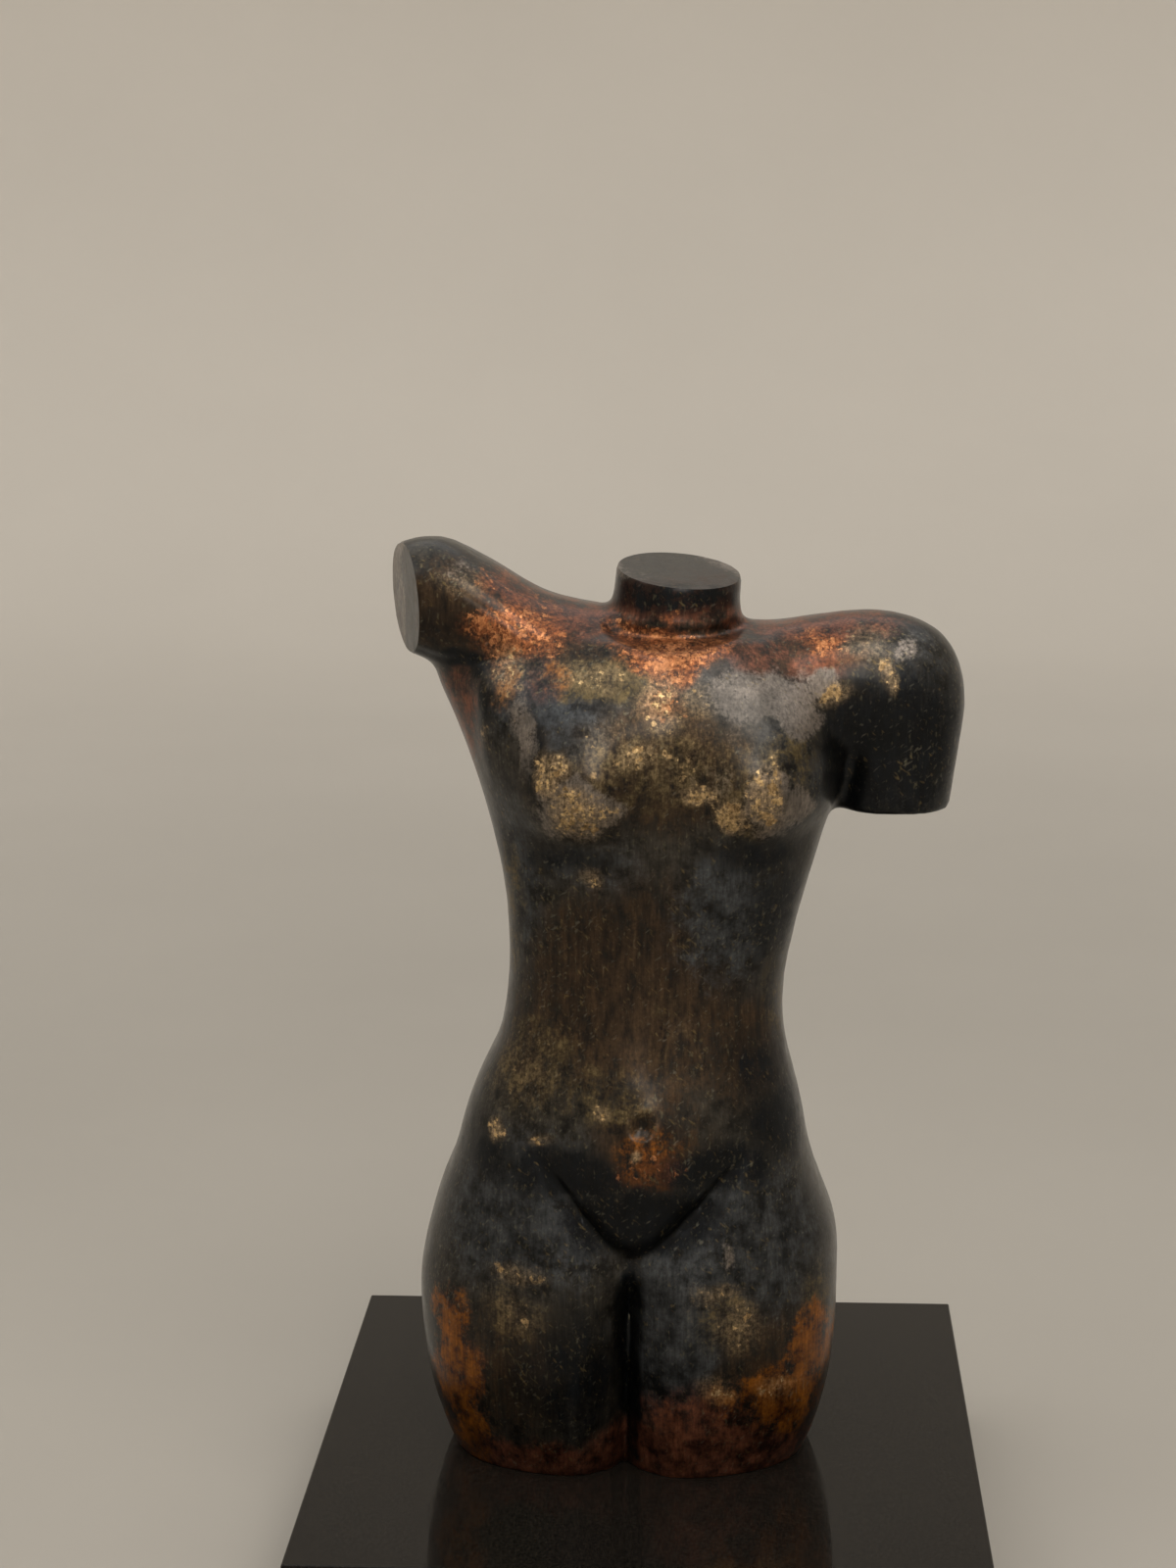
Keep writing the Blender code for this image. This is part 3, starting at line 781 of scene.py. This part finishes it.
bare_tone = add(tree, "ShaderNodeMapRange", TONES, {"Value": mottle})
bare = {"data_type": "RGBA", 6: linear("211e19"), 7: linear("4d483f")}
coat = add(tree, "ShaderNodeMix", bare, {0: bare_tone}).outputs[2]
# The last two coats are painted light: painted shade in the creases and hollows, and grey painted sheen.
for name, dark, light, grain, raggedness, softness in (
    ("umber", "231a11", "4f3c28", streaks, 0.45, 0.35),
    ("slate_sheen_and_shade", "17191b", "505253", mottle, 0.45, 0.35),
    ("olive", "362c18", "6e5e3e", mottle, 0.60, 0.30),
    ("russet", "412114", "90583e", mottle, 0.40, 0.34),
    ("amber", "4a2206", "a8661e", mottle, 0.55, 0.28),
    ("shade_and_dark_patina", "040607", "12161a", streaks, 0.45, 0.32),
    ("painted_sheen", "5e574f", "93877c", hills, 0.30, 0.16),
):
    coat = lay(coat, strengths[name], dark, light, grain, raggedness, softness)
print("coats laid, so far", len(tree.nodes), "nodes")

# %% Lay the copper and the gold
COPPER_SCRAP_MM = 2.6
GOLD_SCRAP_MM = 4.2
GOLD_CRUMB_MM = 1.9
copper, gold = strengths["copper"], strengths["gold"]
coat = lay(coat, copper, "63351c", "a9653a", grit, 0.36, 0.36, opacity=0.90)
coat, copper_leaf = torn_leaf(coat, copper, COPPER_SCRAP_MM, 0.62, "94562f", "d08c5a")
coat = lay(coat, gold, "7a664b", "c2a680", grit, 0.28, 0.46, opacity=0.85)
coat, gold_leaf = torn_leaf(coat, gold, GOLD_SCRAP_MM, 0.50, "886b45", "dab885")
coat, gold_crumbs = torn_leaf(coat, gold, GOLD_CRUMB_MM, 0.30, "96764a", "ecca92")
leaf = add(tree, "ShaderNodeMath", {"operation": "MAXIMUM"}, {0: copper_leaf, 1: gold_leaf})
leaf = add(tree, "ShaderNodeMath", {"operation": "MAXIMUM"}, {0: leaf, 1: gold_crumbs})
print("scraps of", COPPER_SCRAP_MM, GOLD_SCRAP_MM, GOLD_CRUMB_MM, "mm")

# %% Flecks of the brush over everything
FLECK_MM = 2.0
FLECK_EDGE = 0.13
FLECK_OPACITY = 0.26
for turn, drawn_out, rarity, colour in (
    (0.0, 2.2, 0.66, "8e8666"),
    (0.9, 2.6, 0.67, "9a9480"),
    (-0.8, 2.6, 0.67, "a38a55"),
):
    line = {"vector_type": "TEXTURE", "Rotation": (0, turn, 0), "Scale": (1, 1, drawn_out)}
    stretched = add(tree, "ShaderNodeMapping", line, {"Vector": place})
    lumps = {"Scale": 1000 / FLECK_MM, "Detail": 1, "Roughness": 0.4}
    scratches = add(tree, "ShaderNodeTexNoise", lumps, {"Vector": stretched})
    often = weighed_sum(tree, -0.125, (scratches, 1.0), (hills, 0.25))
    edge = {"From Min": rarity, "From Max": rarity + FLECK_EDGE, "To Max": FLECK_OPACITY}
    cover = add(tree, "ShaderNodeMapRange", edge, {"Value": often})
    fleck = {"data_type": "RGBA", 7: linear(colour)}
    coat = add(tree, "ShaderNodeMix", fleck, {0: cover, 6: coat}).outputs[2]
print("flecks of", FLECK_MM, "mm")

# %% Wear in the bristle marks
WORN = {"data_type": "RGBA", 6: linear("a0a0a0"), 7: linear("ffffff")}
worn = weighed_sum(tree, -0.4, (grit, 0.9), (bristles, 0.9))
wear_tone = add(tree, "ShaderNodeMapRange", {"From Min": 0.25, "From Max": 0.75}, {"Value": worn})
wear = add(tree, "ShaderNodeMix", WORN, {0: wear_tone}).outputs[2]
darken = {"data_type": "RGBA", "blend_type": "MULTIPLY", 0: 1.0}
coat = add(tree, "ShaderNodeMix", darken, {6: coat, 7: wear}).outputs[2]
print("wear laid")

# %% [markdown]
# ## Gloss and relief
#
# Leaf is nearly pure metal, so it is a little more metallic than the patina round it. A thin lacquer lies
# over all. Its IOR is set low, because a thin dull film mirrors little head-on, which keeps the darks dark,
# and it still gives the pale gleam along the outline. Its roughness is one number, set on the shader itself,
# because an exported model keeps only that. The bumps are under half a millimetre, so they stay in the bump.

# %% Finish the casting
RELIEF_MM = 0.4
relief = weighed_sum(tree, 0.0, (mottle, 1.0), (bristles, 0.4), (grit, 0.5), (leaf, 0.5))
dents = add(tree, "ShaderNodeBump", {"Strength": 0.4, "Distance": RELIEF_MM * MM}, {"Height": relief})
metalness = add(tree, "ShaderNodeMapRange", {"To Min": 0.90, "To Max": 0.97}, {"Value": leaf})
dullness = {"From Min": 0.3, "From Max": 0.7, "To Min": 0.36, "To Max": 0.58}
roughness = add(tree, "ShaderNodeMapRange", dullness, {"Value": mottle})
feed(tree, shader, {"Base Color": coat, "Metallic": metalness, "Roughness": roughness, "Normal": dents})
shader.inputs["Coat Weight"].default_value = 0.75
shader.inputs["Coat IOR"].default_value = 1.25
shader.inputs["Coat Roughness"].default_value = 0.23
skin.data.materials.clear()
skin.data.materials.append(bronze)
print("bronze has", len(tree.nodes), "nodes")

# %% [markdown]
# ## Polished black stone
#
# The plinth is a block of black basalt, sawn, ground and polished until it mirrors the room. The CAD solid is
# right as it is, so it keeps its shape and only gets the stone. Fine crystals speckle it, and handling leaves
# faint smudges that blur the mirror here and there. The specular level is low, because so dark and fine a
# stone mirrors less of the pale room than bare glass would.

# %% Finish the plinth
CRYSTAL_MM = 1.2
SMUDGE_MM = 60
stone, tree, shader, place = new_material("polished black basalt")
crystals = add(tree, "ShaderNodeTexNoise", {"Scale": 1000 / CRYSTAL_MM, "Detail": 3}, {"Vector": place})
clouds = add(tree, "ShaderNodeTexNoise", {"Scale": 1000 / SMUDGE_MM, "Detail": 3}, {"Vector": place})
speckle = add(tree, "ShaderNodeMapRange", {"From Min": 0.4, "From Max": 0.75}, {"Value": crystals})
tones = {"data_type": "RGBA", 6: linear("0e0c0a"), 7: linear("231f1a")}
stone_colour = add(tree, "ShaderNodeMix", tones, {0: speckle}).outputs[2]
blur = {"From Min": 0.45, "From Max": 0.75, "To Min": 0.05, "To Max": 0.16}
smudges = add(tree, "ShaderNodeMapRange", blur, {"Value": clouds})
feed(tree, shader, {"Base Color": stone_colour, "Roughness": smudges})
shader.inputs["Specular IOR Level"].default_value = 0.15
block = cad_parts["plinth"]
block.data.materials.clear()
block.data.materials.append(stone)
print("stone has", len(tree.nodes), "nodes")

# %% [markdown]
# ## The studio
#
# A wide pale bowl, floor and wall in one, stands in for the plain room. Its profile is a flat floor, a
# quarter turn and a straight wall, spun round the figure. Its wall is what the lacquer and the stone mirror.
# Its paint grows paler with distance, which is painted light: the floor near the figure is darker and the far
# wall lighter, as if more light fell high on the wall, and the top of the picture is lighter. A soft lamp
# high in front and to the right gives the gleams on the chest and shoulders, a weak one on the left opens the
# shadows, and a small one further away in front lights the belly and the thighs.

# %% Turn the bowl
FLOOR_RADIUS = 3.2
BOWL_CURVE = 1.5
CURVE_STEPS = 16
BOWL_TOP = 4.5
BOWL_SIDES = 128
BOWL_WELD = 0.1 * MM
profile = [(0.0, 0.0), (1.2, 0.0), (FLOOR_RADIUS, 0.0)]
for step in range(1, CURVE_STEPS + 1):
    angle = math.radians(90 * step / CURVE_STEPS)
    profile.append((FLOOR_RADIUS + BOWL_CURVE * math.sin(angle), BOWL_CURVE * (1 - math.cos(angle))))
profile.append((FLOOR_RADIUS + BOWL_CURVE, BOWL_TOP))
turned = bmesh.new()
line = [turned.verts.new((radius, 0, height)) for radius, height in profile]
edges = [turned.edges.new(pair) for pair in zip(line, line[1:])]
bmesh.ops.spin(turned, geom=line + edges, axis=(0, 0, 1), cent=(0, 0, 0), angle=math.tau, steps=BOWL_SIDES)
bmesh.ops.remove_doubles(turned, verts=turned.verts, dist=BOWL_WELD)
bmesh.ops.recalc_face_normals(turned, faces=turned.faces)
bowl_mesh = bpy.data.meshes.new("studio bowl")
turned.to_mesh(bowl_mesh)
turned.free()
bowl_mesh.shade_smooth()
bowl = bpy.data.objects.new("studio_bowl", bowl_mesh)
bpy.context.scene.collection.objects.link(bowl)
print("bowl of", len(bowl_mesh.polygons), "faces")

# %% Paint the bowl
PALE_FROM = 0.8
PALE_TO = 4.5
PATCH_MM = 600
plaster, tree, shader, place = new_material("painted plaster")
patches = {"Scale": 1000 / PATCH_MM, "Detail": 4, "Roughness": 0.5}
patchy = add(tree, "ShaderNodeTexNoise", patches, {"Vector": place})
# Painted light: paler paint further from the figure, so the floor round it is darker and the far wall
# lighter.
distance = add(tree, "ShaderNodeVectorMath", {"operation": "LENGTH"}, {0: place}).outputs["Value"]
reach = {"interpolation_type": "SMOOTHSTEP", "From Min": PALE_FROM, "From Max": PALE_TO}
far = add(tree, "ShaderNodeMapRange", reach, {"Value": distance})
outward = add(tree, "ShaderNodeMath", {"operation": "MULTIPLY_ADD", 1: 0.2}, {0: patchy, 2: far})
patches_and_painted_light = add(tree, "ShaderNodeMapRange", {"From Max": 1.2}, {"Value": outward})
tones = {"data_type": "RGBA", 6: linear("9c968c"), 7: linear("d0c9be")}
paint = add(tree, "ShaderNodeMix", tones, {0: patches_and_painted_light}).outputs[2]
feed(tree, shader, {"Base Color": paint})
shader.inputs["Roughness"].default_value = 0.9
bowl.data.materials.append(plaster)
print("paler from", PALE_FROM, "to", PALE_TO, "m away")

# %% Light it
AIM = Vector((0, 0, 0.40))
ROOM_LIGHT = 1.18


def lamp(name, place, size, watts, colour):
    """A square soft lamp that looks at the figure."""
    light = bpy.data.lights.new(name, "AREA")
    light.size = size
    light.energy = watts
    light.color = linear(colour)[:3]
    holder = bpy.data.objects.new(name, light)
    bpy.context.scene.collection.objects.link(holder)
    holder.location = place
    holder.rotation_euler = (AIM - Vector(place)).to_track_quat("-Z", "Y").to_euler()


lamp("key lamp", place=(0.75, -1.25, 2.3), size=1.1, watts=18, colour="fffaf4")
lamp("fill lamp", place=(-1.6, -1.0, 2.2), size=1.4, watts=8, colour="ffffff")
lamp("front lamp", place=(0.4, -2.6, 1.5), size=0.8, watts=16, colour="fffaf4")
world = bpy.data.worlds.new("room")
bpy.context.scene.world = world
world.use_nodes = True
background = world.node_tree.nodes["Background"]
background.inputs["Color"].default_value = linear("ffffff")
background.inputs["Strength"].default_value = ROOM_LIGHT
bpy.context.scene.view_settings.view_transform = "Standard"
print("lamps set")

# %% [markdown]
# ## Sizes
#
# The looks must not change the object's size, so the CAD box is printed once more at the end.

# %% Print the CAD box
print("CAD box", [round(v, 4) for v in (*cad_low, *cad_high)])
